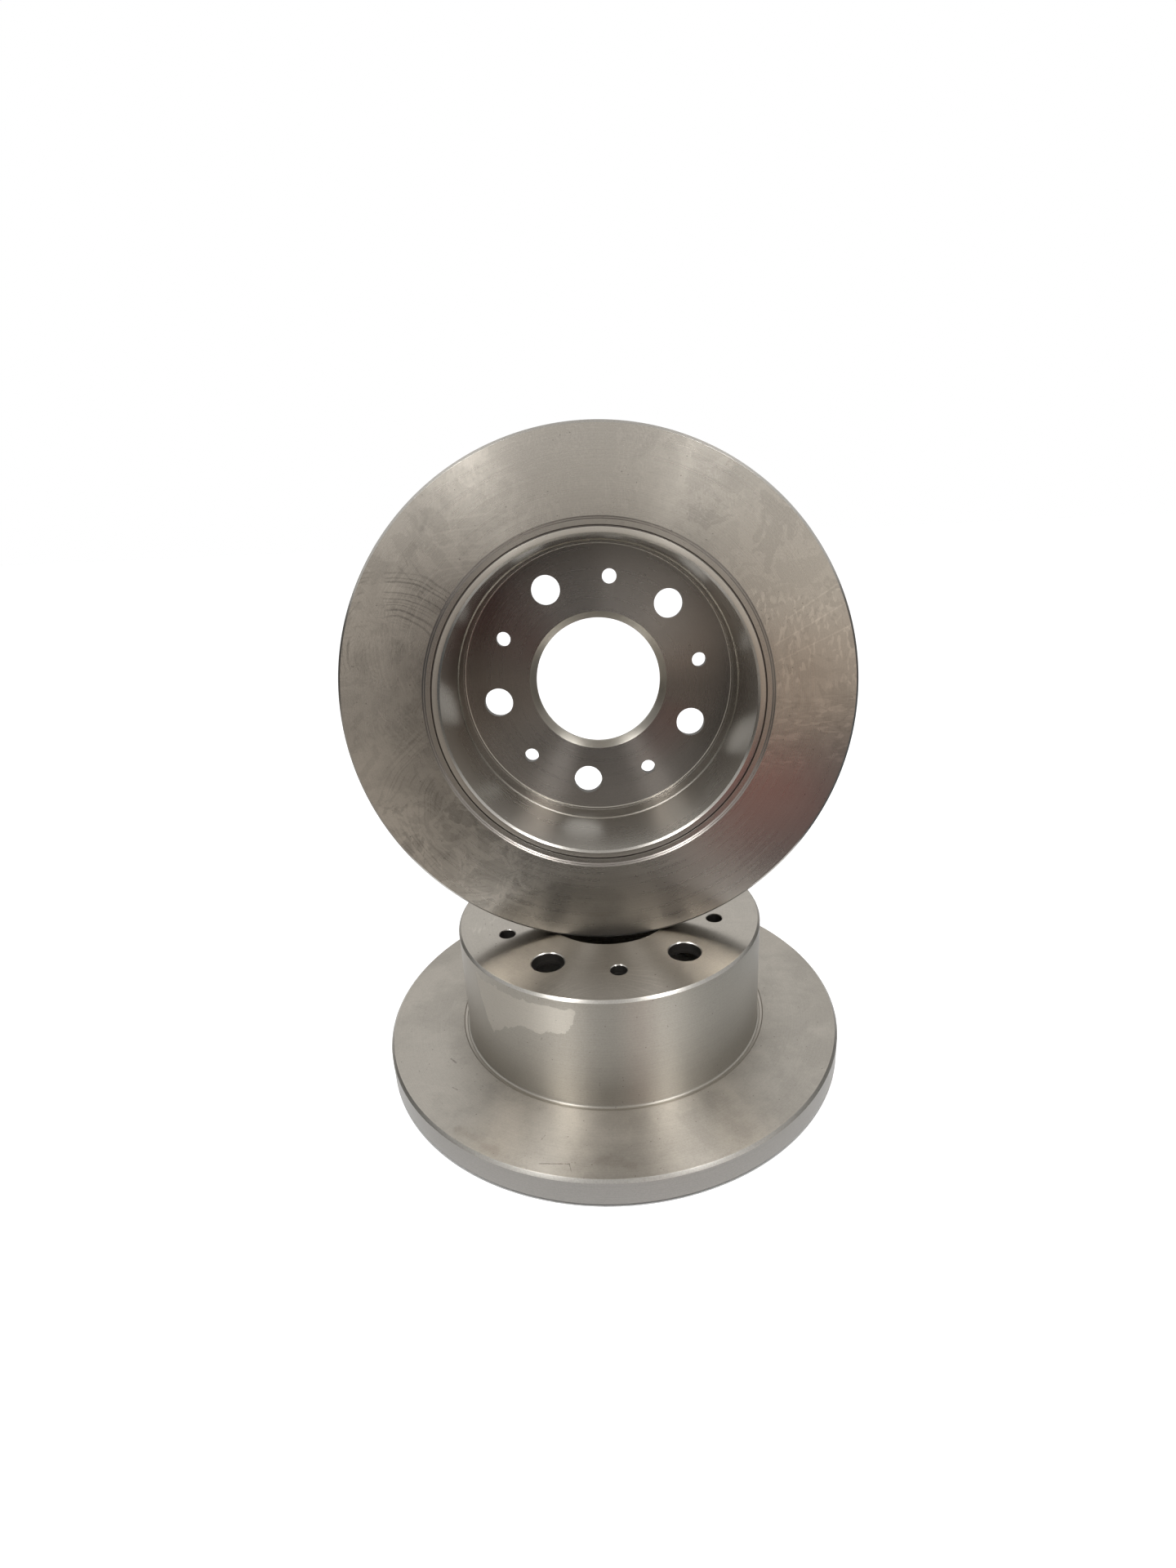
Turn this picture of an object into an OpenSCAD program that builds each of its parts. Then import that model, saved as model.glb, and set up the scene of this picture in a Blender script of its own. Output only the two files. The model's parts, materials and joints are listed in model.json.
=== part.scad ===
// Pair of brake disc rotors with a parking brake drum inside the hat.
// The lower rotor lies with its hat up and the upper one stands on its rim in the lower bore.
// Millimetres, +Z up, origin on the lower rotor's axis at the floor.

/* [Disc] */
// outer diameter of the friction ring
disc_d = 280; // [260:1:300]
// thickness of the friction ring
disc_t = 16; // [12:0.5:20]
// chamfer on both edges of the rim
rim_chamfer = 1.5; // [1:0.1:2.5]
// depth of the relief turned into the ring at the foot of the hat
foot_relief = 0.5; // [0.3:0.1:0.8]
// width of that relief
foot_width = 3.6; // [3.4:0.2:6]
// depth of the second step, beside the fillet
foot_step = 0.3; // [0.2:0.1:0.5]
// radius of the fillet between the relief and the hat wall
foot_fillet = 1.3; // [1:0.1:1.8]

/* [Hat] */
// overall height, from the open face to the wheel face
height = 83; // [74:1:92]
// thickness of the hat wall around the drum
wall_t = 6; // [5:0.5:8]
// thickness of the hat plate
plate_t = 7; // [6:0.5:9]
// chamfer on the outer edge of the hat
hat_chamfer = 1.4; // [1:0.1:2.5]

/* [Drum] */
// diameter of the ground drum surface for the parking shoes
drum_d = 172; // [164:1:176]
// length of the ground drum surface
drum_h = 58; // [45:1:60]
// step in from the ground surface to the relief behind it
drum_step = 0.8; // [0.5:0.1:1.2]
// step in from the relief to the root of the drum
root_step = 0.7; // [0.4:0.1:1]
// height of the root above the hub face
root_h = 2; // [1.6:0.1:2.6]
// radius of the fillet between the root and the hub face
root_fillet = 0.8; // [0.5:0.1:1]
// lead-in chamfer at the mouth of the drum
lead_in = 0.7; // [0.5:0.1:1]

/* [Open face] */
// width of the land around the mouth of the drum
land_w = 3.2; // [2.4:0.1:4]
// how far the land's inner edge lies below the friction face
land_drop = 0.5; // [0.3:0.1:0.7]
// how far the land falls toward the groove
land_fall = 0.5; // [0.3:0.1:0.7]
// width of the groove beside the land
groove_w = 1; // [0.8:0.1:1.6]
// depth of that groove below the friction face
groove_depth = 2; // [1.7:0.1:2.6]
// width of the shelf beyond the groove
shelf_w = 2.5; // [2:0.1:3.2]
// how far the shelf lies below the friction face
shelf_drop = 1; // [0.7:0.1:1.2]
// how far the shelf falls toward the groove
shelf_fall = 0.25; // [0.1:0.05:0.4]
// ledge halfway up the step from the shelf to the friction face
step_ledge = 0.2; // [0.1:0.1:0.6]

/* [Holes] */
// diameter of the bore
bore_d = 79; // [72:1:84]
// chamfer of the bore on the hub side
bore_chamfer = 4; // [3:0.2:4.6]
// diameter of the bolt circle
bolt_circle_d = 130; // [126:1:134]
// number of wheel bolt holes, with a small hole between each two
bolts = 5; // [4:1:6]
// diameter of the wheel bolt holes
bolt_hole_d = 18; // [15:0.5:20]
// diameter of the small holes
small_hole_d = 9; // [7:0.5:11]
// chamfer of the bolt holes on the wheel face
bolt_chamfer = 0.5; // [0.3:0.1:1.2]
// chamfer of the small holes on the wheel face
small_chamfer = 0.4; // [0.2:0.1:0.8]

/* [Stack] */
// how far the upper rotor leans back, in degrees
lean = 4.75; // [3:0.25:6]
// how far the front edge of its rim sits before the middle of the lower bore
seat_front = 26.6; // [22:0.2:30]
// gap left between the rim and the edge of the lower bore
seat_gap = 0.2; // [0.1:0.05:0.4]
// turn of the lower rotor's first bolt hole, in degrees
lower_turn = 21.5; // [0:0.5:72]
// turn of the upper rotor's first bolt hole, in degrees
upper_turn = 26.4; // [0:0.2:72]

/* [Hidden] */
$fn = 180;
eps = 0.1;
past = 1;
fillet_steps = 4;
rim_r = disc_d / 2;
drum_r = drum_d / 2;
hat_r = drum_r + wall_t;
bore_r = bore_d / 2;
back_r = drum_r - drum_step;
root_r = back_r - root_step;
plate_z = height - plate_t;
relief_z = disc_t - foot_relief;
foot_z = relief_z - foot_step;
land_r = drum_r + lead_in;
groove_r = land_r + land_w;
shelf_r = groove_r + groove_w;
step_r = shelf_r + shelf_w;
face_r = step_r + shelf_drop + step_ledge;
rim_flat = disc_t - 2 * rim_chamfer;

// the rim's edge circles rest on the edge of the lower bore
chord_k = rim_r * rim_r - bore_r * bore_r;
front_y = -seat_front;
back_y = front_y + rim_flat * cos(lean);
front_s = sqrt(chord_k + front_y * front_y);
back_s = sqrt(chord_k + back_y * back_y);
front_z = height + seat_gap + front_s * cos(lean);
rear_z = height + seat_gap + back_s * cos(lean) + rim_flat * sin(lean);
edge_z = max(front_z, rear_z);
edge_y = front_y + front_s * sin(lean);
upper_y = edge_y - rim_chamfer * cos(lean);
upper_z = edge_z + rim_chamfer * sin(lean);

// shares of a fillet's radius along its two sides, from one end of the arc to the other
fillet_arc = [for (i = [0:fillet_steps]) let (a = 90 * i / fillet_steps) [1 - sin(a), 1 - cos(a)]];

// outside of the half section, from the friction face over the rim to the wheel face
outside = concat(
    [
        [rim_r - rim_chamfer, 0],
        [rim_r, rim_chamfer],
        [rim_r, disc_t - rim_chamfer],
        [rim_r - rim_chamfer, disc_t],
        [hat_r + foot_width, disc_t],
        [hat_r + foot_width - foot_relief, relief_z],
        [hat_r + foot_fillet + foot_step, relief_z]
    ],
    [for (p = fillet_arc) [hat_r + foot_fillet * p[0], foot_z + foot_fillet * p[1]]],
    [
        [hat_r, height - hat_chamfer],
        [hat_r - hat_chamfer, height]
    ]
);

// inside of the half section, from the bore over the hub face and the drum to its mouth
inside = concat(
    [
        [bore_r, height],
        [bore_r, plate_z + bore_chamfer],
        [bore_r + bore_chamfer, plate_z]
    ],
    [for (p = fillet_arc) [root_r - root_fillet * p[0], plate_z - root_fillet * p[1]]],
    [
        [root_r, plate_z - root_h + root_step],
        [back_r, plate_z - root_h],
        [back_r, drum_h + drum_step],
        [drum_r, drum_h],
        [drum_r, land_drop + lead_in],
        [land_r, land_drop]
    ]
);

// groove in the open face, from the land to the friction face
open_face = [
    [groove_r, land_drop + land_fall],
    [groove_r + groove_w / 3, groove_depth],
    [shelf_r - groove_w / 3, groove_depth],
    [shelf_r, shelf_drop + shelf_fall],
    [step_r, shelf_drop],
    [step_r + shelf_drop / 2, shelf_drop / 2],
    [step_r + shelf_drop / 2 + step_ledge, shelf_drop / 2],
    [face_r, 0]
];

// one hole through the hat plate, with a chamfer on the wheel face
module plate_hole(d, chamfer) {
    translate([bolt_circle_d / 2, 0, plate_z - past])
        cylinder(d = d, h = plate_t + 2 * past);
    translate([bolt_circle_d / 2, 0, height - chamfer])
        cylinder(d1 = d, d2 = d + 2 * (chamfer + eps), h = chamfer + eps);
}

// the whole rotor, one machined casting, open face at z = 0 and hat toward +z
module rotor() {
    difference() {
        rotate_extrude()
            polygon(concat(outside, inside, open_face));
        for (i = [0:bolts - 1]) {
            rotate([0, 0, i * 360 / bolts])
                plate_hole(bolt_hole_d, bolt_chamfer);
            rotate([0, 0, (i + 0.5) * 360 / bolts])
                plate_hole(small_hole_d, small_chamfer);
        }
    }
}

module lower_rotor() {
    color([0.56, 0.54, 0.51])
        rotate([0, 0, lower_turn])
            rotor();
}

module upper_rotor() {
    color([0.52, 0.50, 0.47])
        translate([0, upper_y, upper_z])
            rotate([-90 - lean, 0, 0])
                rotate([0, 0, upper_turn])
                    rotor();
}

lower_rotor();
upper_rotor();
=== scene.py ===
"""Looks for a pair of machined brake disc rotors, one lying hat up and one standing on its rim."""
import json
import math

import bpy
from bpy.props import FloatProperty, FloatVectorProperty, IntProperty, PointerProperty
from mathutils import Matrix, Vector


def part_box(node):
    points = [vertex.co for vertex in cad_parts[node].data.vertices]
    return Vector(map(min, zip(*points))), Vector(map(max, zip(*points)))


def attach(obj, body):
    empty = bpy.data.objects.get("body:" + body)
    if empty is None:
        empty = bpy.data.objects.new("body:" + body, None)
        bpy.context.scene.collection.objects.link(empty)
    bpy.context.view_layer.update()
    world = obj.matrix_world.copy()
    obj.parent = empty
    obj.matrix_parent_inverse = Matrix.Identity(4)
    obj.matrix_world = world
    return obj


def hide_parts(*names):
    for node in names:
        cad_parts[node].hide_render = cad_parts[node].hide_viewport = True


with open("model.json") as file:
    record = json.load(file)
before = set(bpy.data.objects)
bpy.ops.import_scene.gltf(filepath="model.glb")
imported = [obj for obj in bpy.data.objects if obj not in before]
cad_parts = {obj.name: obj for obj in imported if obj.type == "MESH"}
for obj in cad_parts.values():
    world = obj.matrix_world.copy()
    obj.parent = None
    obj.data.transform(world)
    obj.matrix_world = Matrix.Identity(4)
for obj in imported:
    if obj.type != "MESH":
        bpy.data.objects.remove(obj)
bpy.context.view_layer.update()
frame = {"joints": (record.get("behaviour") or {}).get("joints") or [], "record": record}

bl_info = {
    "name": "Brake Disc Rotor Pair",
    "version": (1, 0, 0),
    "blender": (4, 5, 0),
    "location": "View3D > Sidebar > Rotors",
    "description": "Builds two turned brake disc rotors and the table they stand on",
    "category": "Add Mesh",
}

MM = 0.001
LOWER_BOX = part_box("lower_rotor")
MOUNTS = {mount["name"]: mount for mount in frame["record"]["mounts"]}
BORE = MOUNTS["upper_bore"]["dims"]
BOLT_HOLES = MOUNTS["upper_bolts"]["dims"]
SMALL_HOLES = MOUNTS["upper_small_holes"]["dims"]
PHOTO_W = 1440
PHOTO_H = 1920
WHITE = (1.0, 1.0, 1.0, 1.0)


# Properties


def length(name, description, millimetres):
    """A property that holds a length, in metres."""
    return FloatProperty(
        name=name,
        description=description,
        default=millimetres * MM,
        min=0.0,
        precision=5,
        unit="LENGTH",
    )


def angle(name, description, degrees):
    """A property that holds an angle, in radians."""
    return FloatProperty(
        name=name,
        description=description,
        default=math.radians(degrees),
        subtype="ANGLE",
    )


def pixels(name, description, count):
    """A property that holds a length in the picture."""
    return FloatProperty(name=name, description=description, default=count, subtype="PIXEL")


def colour(name, description, rgb):
    """A property that holds a linear colour."""
    return FloatVectorProperty(
        name=name,
        description=description,
        default=rgb,
        min=0.0,
        max=1.0,
        subtype="COLOR",
    )


def factor(name, description, value):
    """A property that holds a plain factor."""
    return FloatProperty(name=name, description=description, default=value, min=0.0)


class RotorSizes(bpy.types.PropertyGroup):
    """Sizes of one rotor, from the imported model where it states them."""

    disc_r: length("Disc radius", "Outer radius of the ring", LOWER_BOX[1][0] / MM)
    disc_t: length("Ring thickness", "Thickness of the friction ring", 16)
    rim_chamfer: length("Rim chamfer", "Chamfer on both rim edges", 1.5)
    foot_relief: length("Foot relief", "Depth of the relief at the foot of the hat", 0.5)
    foot_width: length("Foot width", "Width of that relief", 3.6)
    foot_step: length("Foot step", "Second step, beside the fillet", 0.3)
    foot_fillet: length("Foot fillet", "Radius between relief and hat wall", 1.3)
    height: length("Height", "Open face to wheel face", LOWER_BOX[1][2] / MM)
    wall_t: length("Hat wall", "Thickness of the hat wall", 6)
    plate_t: length("Hat plate", "Thickness of the hat plate", 7)
    hat_chamfer: length("Hat chamfer", "Chamfer on the hat's outer edge", 1.4)
    drum_r: length("Drum radius", "Radius of the ground drum surface", 86)
    drum_h: length("Drum length", "Length of the ground drum surface", 58)
    drum_step: length("Drum step", "Step behind the ground drum surface", 0.8)
    root_step: length("Root step", "Step in to the root of the drum", 0.7)
    root_h: length("Root height", "Height of the root above the hub face", 2)
    root_fillet: length("Root fillet", "Radius between root and hub face", 0.8)
    lead_in: length("Lead-in", "Chamfer at the mouth of the drum", 1.2)
    land_w: length("Land width", "Land around the mouth of the drum", 2.8)
    land_drop: length("Land drop", "How far the land lies below the face", 0.8)
    land_fall: length("Land fall", "How far the land falls toward the groove", 0.1)
    groove_w: length("Groove width", "Groove beside the land", 1)
    groove_depth: length("Groove depth", "Depth of that groove below the face", 2.4)
    shelf_w: length("Shelf width", "Shelf beyond the groove", 2.6)
    shelf_drop: length("Shelf drop", "How far the shelf lies below the face", 1.3)
    shelf_fall: length("Shelf fall", "How far the shelf falls toward the groove", 0.1)
    step_ledge: length("Step ledge", "Ledge halfway up to the friction face", 0.3)
    bore_r: length("Bore radius", "Radius of the bore", BORE["r_mm"])
    bore_chamfer: length("Bore chamfer", "Chamfer on the hub side of the bore", 4)
    circle_r: length("Bolt circle", "Radius of the bolt circle", BOLT_HOLES["pcd_mm"] / 2)
    bolt_r: length("Bolt hole", "Radius of a bolt hole", BOLT_HOLES["hole_r_mm"])
    small_r: length("Small hole", "Radius of a small hole", SMALL_HOLES["hole_r_mm"])
    bolt_chamfer: length("Bolt hole chamfer", "Chamfer on the wheel face", 0.5)
    small_chamfer: length("Small hole chamfer", "Chamfer on the wheel face", 0.4)
    lip: length("Hole lip", "How far the lip stands in at the hub end of a hole", 0.2)
    lip_h: length("Lip height", "Height of that lip", 1.8)
    bolts: IntProperty(
        name="Bolts",
        description="Number of bolt holes, with a small hole between each two",
        default=BOLT_HOLES["count"],
        min=3,
        max=8,
    )
    edge_r: length("Broken edge", "Radius that breaks each turned edge", 0.12)
    lower_turn: angle("Lower turn", "Turn of the lower rotor's first bolt hole", 21.5)
    upper_turn: angle("Upper turn", "Turn of the upper rotor's first bolt hole", 26.4)
    steps: IntProperty(
        name="Steps",
        description="Faces around each rotor",
        default=288,
        min=48,
        max=720,
    )


class MetalLooks(bpy.types.PropertyGroup):
    """Colours of the bare iron and of what lies on it."""

    iron: colour("Turned iron", "Finely turned faces", (0.405, 0.376, 0.333))
    wall: colour("Hat wall", "Turned wall of the hat", (0.39, 0.368, 0.328))
    # the rim is darker than the turned iron as painted shade: it stands in for the shaded table beside the
    # rim, which the rim mirrors
    rim: colour("Rim", "Ground rim", (0.25, 0.239, 0.224))
    chamfer: colour("Chamfer", "Bright turned chamfers", (0.37, 0.354, 0.326))
    plate: colour("Hub face", "Darker face inside the hat", (0.228, 0.209, 0.192))
    drum: colour("Drum", "Ground drum surface", (0.375, 0.353, 0.314))
    hole: colour("Holes", "Drilled walls of the holes", (0.13, 0.122, 0.112))
    stain: colour("Oil stain", "Old preserving oil", (0.17, 0.13, 0.085))
    dirt: colour("Dirt", "Dirt in scratches and pits", (0.05, 0.045, 0.04))


class RoomLooks(bpy.types.PropertyGroup):
    """Brightness of the room that the bare metal mirrors."""

    wall_left: colour("Wall left", "Wall on the left", (0.58, 0.55, 0.52))
    wall_right: colour("Wall right", "Wall on the right", (0.88, 0.84, 0.79))
    floor_left: colour("Floor left", "Floor on the left", (0.58, 0.54, 0.50))
    floor_right: colour("Floor right", "Floor on the right", (0.145, 0.165, 0.18))
    behind: colour("Behind", "Floor and wall behind the pair", (0.66, 0.645, 0.62))
    ceiling: colour("Ceiling", "Ceiling over the pair", (0.80, 0.78, 0.76))
    dark: colour("Dark", "Mat before the table and flag behind the camera", (0.05, 0.048, 0.046))
    tan: colour("Tan card", "Tan card over the red one", (0.70, 0.57, 0.48))
    red: colour("Red card", "Red-brown card at the right", (0.55, 0.13, 0.11))
    wall_top: factor("Wall top", "Brightness at the top of the wall", 1.25)
    wall_foot: factor("Wall foot", "Brightness at the foot of the wall", 0.78)
    sides: factor("Sides", "Share of that brightness at the sides of the room", 0.15)


class StageSizes(bpy.types.PropertyGroup):
    """Camera, lamps, table and the sheets of the room."""

    focal_px: pixels("Focal length", "In pixels of the picture", 925.96)
    centre_x: pixels("Centre x", "Where the lens axis meets the picture", 737.9)
    centre_y: pixels("Centre y", "Where the lens axis meets the picture", 947.81)
    distance: length("Distance", "Camera to the point it looks at", 438.95)
    look_z: length("Look height", "Height of the point the camera looks at", 172.21)
    elevation: angle("Elevation", "How far the camera looks down", 20.09)
    roll: angle("Roll", "How far the camera leans to its right", 2.59)
    lamp_way: FloatVectorProperty(
        name="Lamp way",
        description="Way from the pair to the right lamp, which the left one mirrors",
        default=(0.44, -0.45, 0.80),
        subtype="DIRECTION",
    )
    lamp_distance: length("Lamp distance", "Lamps to the middle of the pair", 1100)
    lamp_size: length("Lamp size", "Side of each soft lamp", 240)
    lamp_power: FloatProperty(
        name="Lamp power",
        description="Power of each lamp",
        default=5.0,
        unit="POWER",
    )
    room_r: length("Room radius", "Wall of the room round the table", 1500)
    room_h: length("Room height", "Height of that wall", 620)
    wall_rise: length("Wall rise", "Height over which the wall gets brighter", 420)
    floor_r: length("Floor radius", "Where the room's floor starts round the pair", 240)
    flag_d: length("Flag distance", "Flag and cards behind the camera", 650)
    flag_h: length("Flag height", "Height of the dark flag", 290)
    flag_left: length("Flag left", "How far the flag reaches to the left", 180)
    flag_right: length("Flag right", "How far the flag reaches to the right", 60)
    mat_d: length("Mat distance", "Where the dark mat before the table starts", 290)
    mat_w: length("Mat width", "Half of the width of that mat", 97.5)
    red_d: length("Red distance", "Where the red card rises from the floor", 585)
    red_h: length("Red height", "Height of the red card", 95.7)
    red_left: length("Red left", "Where the red card starts", 82.5)
    red_right: length("Red right", "Where the red card ends", 285)
    tan_h: length("Tan height", "Height of the tan card over the red one", 261)
    tan_left: length("Tan left", "Where the tan card starts", 90)
    tan_right: length("Tan right", "Where the tan card ends", 450)
    ceiling_h: length("Ceiling height", "Height of the ceiling, over the lamps", 1250)
    ceiling_w: length("Ceiling width", "Half of the ceiling's width", 750)
    ceiling_front: length("Ceiling front", "How far the ceiling reaches to the front", 875)
    ceiling_back: length("Ceiling back", "How far the ceiling reaches to the back", 250)


# Mesh helpers

# share of a side that a rounded corner takes up at most, with a round or a sharp corner at its other end
ROUND_SHARE = 0.45
SHARP_SHARE = 0.98
ARC_STEPS = 4
HOLE_STEPS = 64
SHARP_ANGLE = math.radians(24)


def corner_arc(before, at, after, radius):
    """Points that round a corner of an outline, whose neighbours may be round or sharp."""
    here = Vector(at[:2])
    ways = []
    rooms = []
    for other in (before, after):
        way = Vector(other[:2]) - here
        rooms.append((ROUND_SHARE if other[2] > 0 else SHARP_SHARE) * way.length)
        ways.append(way.normalized())
    half = ways[0].angle(ways[1]) / 2
    reach = min(*rooms, radius / math.tan(half))
    start = here + ways[0] * reach
    end = here + ways[1] * reach
    points = []
    for i in range(ARC_STEPS + 1):
        t = i / ARC_STEPS
        points.append((1 - t) ** 2 * start + 2 * t * (1 - t) * here + t * t * end)
    return points


def rounded_outline(corners):
    """Points and zones of an outline whose corners are (r, z, radius, zone of the side that follows)."""
    points = []
    zones = []
    for i, corner in enumerate(corners):
        if corner[2] > 0:
            arc = corner_arc(corners[i - 1], corner, corners[(i + 1) % len(corners)], corner[2])
        else:
            arc = [Vector(corner[:2])]
        points.extend(arc)
        zones.extend([corner[3]] * len(arc))
    return points, zones


def lathe(name, points, zones, steps):
    """A mesh turned about Z from a closed outline, with one material slot per zone."""
    verts = []
    for i in range(steps):
        turn = 2 * math.pi * i / steps
        verts.extend((p.x * math.cos(turn), p.x * math.sin(turn), p.y) for p in points)
    count = len(points)
    faces = []
    for i in range(steps):
        here = i * count
        there = (i + 1) % steps * count
        for j in range(count):
            k = (j + 1) % count
            faces.append((here + j, there + j, there + k, here + k))
    return zoned_mesh(name, verts, faces, zones * steps)


def zoned_mesh(name, verts, faces, zones):
    """A mesh whose faces each take the material slot of their zone."""
    mesh = bpy.data.meshes.new(name)
    mesh.from_pydata(verts, [], faces)
    mesh.polygons.foreach_set("material_index", [ZONES.index(zone) for zone in zones])
    mesh.update()
    return mesh


def new_object(name, data):
    """A scene object that holds a mesh, a lamp or a camera."""
    obj = bpy.data.objects.new(name, data)
    bpy.context.scene.collection.objects.link(obj)
    return obj


ZONES = (
    "pad_face",
    "rim",
    "chamfer",
    "foot",
    "hat_wall",
    "hat_face",
    "bore",
    "hub_face",
    "drum",
    "land",
    "groove",
    "hole",
)


def rotor_outline(s):
    """Corners of the rotor's half section, open face at z = 0 and hat toward +z."""
    edge = s.edge_r
    hat_r = s.drum_r + s.wall_t
    back_r = s.drum_r - s.drum_step
    root_r = back_r - s.root_step
    plate_z = s.height - s.plate_t
    relief_z = s.disc_t - s.foot_relief
    foot_z = relief_z - s.foot_step
    land_r = s.drum_r + s.lead_in
    groove_r = land_r + s.land_w
    shelf_r = groove_r + s.groove_w
    step_r = shelf_r + s.shelf_w
    half_step = s.shelf_drop / 2
    face_r = step_r + s.shelf_drop + s.step_ledge
    return [
        (face_r, 0, edge, "pad_face"),
        (s.disc_r - s.rim_chamfer, 0, edge, "chamfer"),
        (s.disc_r, s.rim_chamfer, edge, "rim"),
        (s.disc_r, s.disc_t - s.rim_chamfer, edge, "chamfer"),
        (s.disc_r - s.rim_chamfer, s.disc_t, edge, "pad_face"),
        (hat_r + s.foot_width, s.disc_t, edge, "foot"),
        (hat_r + s.foot_width - s.foot_relief, relief_z, edge, "foot"),
        (hat_r + s.foot_fillet + s.foot_step, relief_z, edge, "foot"),
        (hat_r + s.foot_fillet, foot_z, 0, "foot"),
        (hat_r, foot_z, s.foot_fillet, "hat_wall"),
        (hat_r, s.height - s.hat_chamfer, edge, "chamfer"),
        (hat_r - s.hat_chamfer, s.height, edge, "hat_face"),
        (s.bore_r, s.height, edge, "bore"),
        (s.bore_r, plate_z + s.bore_chamfer, edge, "bore"),
        (s.bore_r + s.bore_chamfer, plate_z, edge, "hub_face"),
        (root_r, plate_z, s.root_fillet, "drum"),
        (root_r, plate_z - s.root_h, edge, "hub_face"),
        (back_r, plate_z - s.root_h, edge, "drum"),
        (back_r, s.drum_h + s.drum_step, edge, "drum"),
        (s.drum_r, s.drum_h, edge, "drum"),
        (s.drum_r, s.land_drop + s.lead_in, edge, "chamfer"),
        (land_r, s.land_drop, edge, "land"),
        (groove_r, s.land_drop + s.land_fall, edge, "groove"),
        (groove_r + s.groove_w / 3, s.groove_depth, edge, "groove"),
        (shelf_r - s.groove_w / 3, s.groove_depth, edge, "groove"),
        (shelf_r, s.shelf_drop + s.shelf_fall, edge, "land"),
        (step_r, s.shelf_drop, edge, "groove"),
        (step_r + half_step, half_step, edge, "land"),
        (step_r + half_step + s.step_ledge, half_step, edge, "groove"),
    ]


def hole_cutter(s, first_turn):
    """One object that cuts all the holes of the hat plate, from the first bolt hole on."""
    plate_z = s.height - s.plate_t
    past = 1 * MM
    verts = []
    faces = []
    zones = []
    for i in range(2 * s.bolts):
        big = i % 2 == 0
        hole_r = s.bolt_r if big else s.small_r
        chamfer = s.bolt_chamfer if big else s.small_chamfer
        rings = [
            (hole_r, plate_z - past),
            (hole_r, plate_z + s.lip_h),
            (hole_r + s.lip, plate_z + s.lip_h),
            (hole_r + s.lip, s.height - chamfer),
            (hole_r + s.lip + chamfer + past, s.height + past),
        ]
        turn = first_turn + math.pi * i / s.bolts
        middle = Vector((s.circle_r * math.cos(turn), s.circle_r * math.sin(turn), 0))
        base = len(verts)
        for k in range(HOLE_STEPS):
            a = 2 * math.pi * k / HOLE_STEPS
            verts.extend(middle + Vector((r * math.cos(a), r * math.sin(a), z)) for r, z in rings)
        bottom = len(verts)
        top = bottom + 1
        verts.append(middle + Vector((0, 0, rings[0][1])))
        verts.append(middle + Vector((0, 0, rings[-1][1])))
        n = len(rings)
        for k in range(HOLE_STEPS):
            here = base + k * n
            there = base + (k + 1) % HOLE_STEPS * n
            faces.append((bottom, there, here))
            faces.extend((here + j, there + j, there + j + 1, here + j + 1) for j in range(n - 1))
            faces.append((here + n - 1, there + n - 1, top))
            zones.extend(["hole"] * (n - 1) + ["chamfer", "hole"])
    return new_object("hole_cutter", zoned_mesh("hole_cutter", verts, faces, zones))


def make_rotor(name, sizes, materials, first_turn, pose):
    """A rotor with its holes, its materials and smooth turned faces, placed at a pose."""
    points, zones = rounded_outline(rotor_outline(sizes))
    obj = new_object(name, lathe(name, points, zones, sizes.steps))
    cutter = hole_cutter(sizes, first_turn)
    for target in (obj, cutter):
        for zone in ZONES:
            target.data.materials.append(materials[zone])
    cut = obj.modifiers.new("holes", "BOOLEAN")
    cut.operation = "DIFFERENCE"
    cut.solver = "EXACT"
    cut.object = cutter
    graph = bpy.context.evaluated_depsgraph_get()
    mesh = bpy.data.meshes.new_from_object(obj.evaluated_get(graph))
    obj.modifiers.clear()
    old = obj.data
    obj.data = mesh
    mesh.name = name
    bpy.data.meshes.remove(old)
    bpy.data.objects.remove(cutter)
    mesh.polygons.foreach_set("use_smooth", [True] * len(mesh.polygons))
    mesh.set_sharp_from_angle(angle=SHARP_ANGLE)
    obj.matrix_world = pose
    return obj


# Material helpers


def rgba(rgb):
    """A colour with full alpha."""
    return (rgb[0], rgb[1], rgb[2], 1.0)


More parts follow.
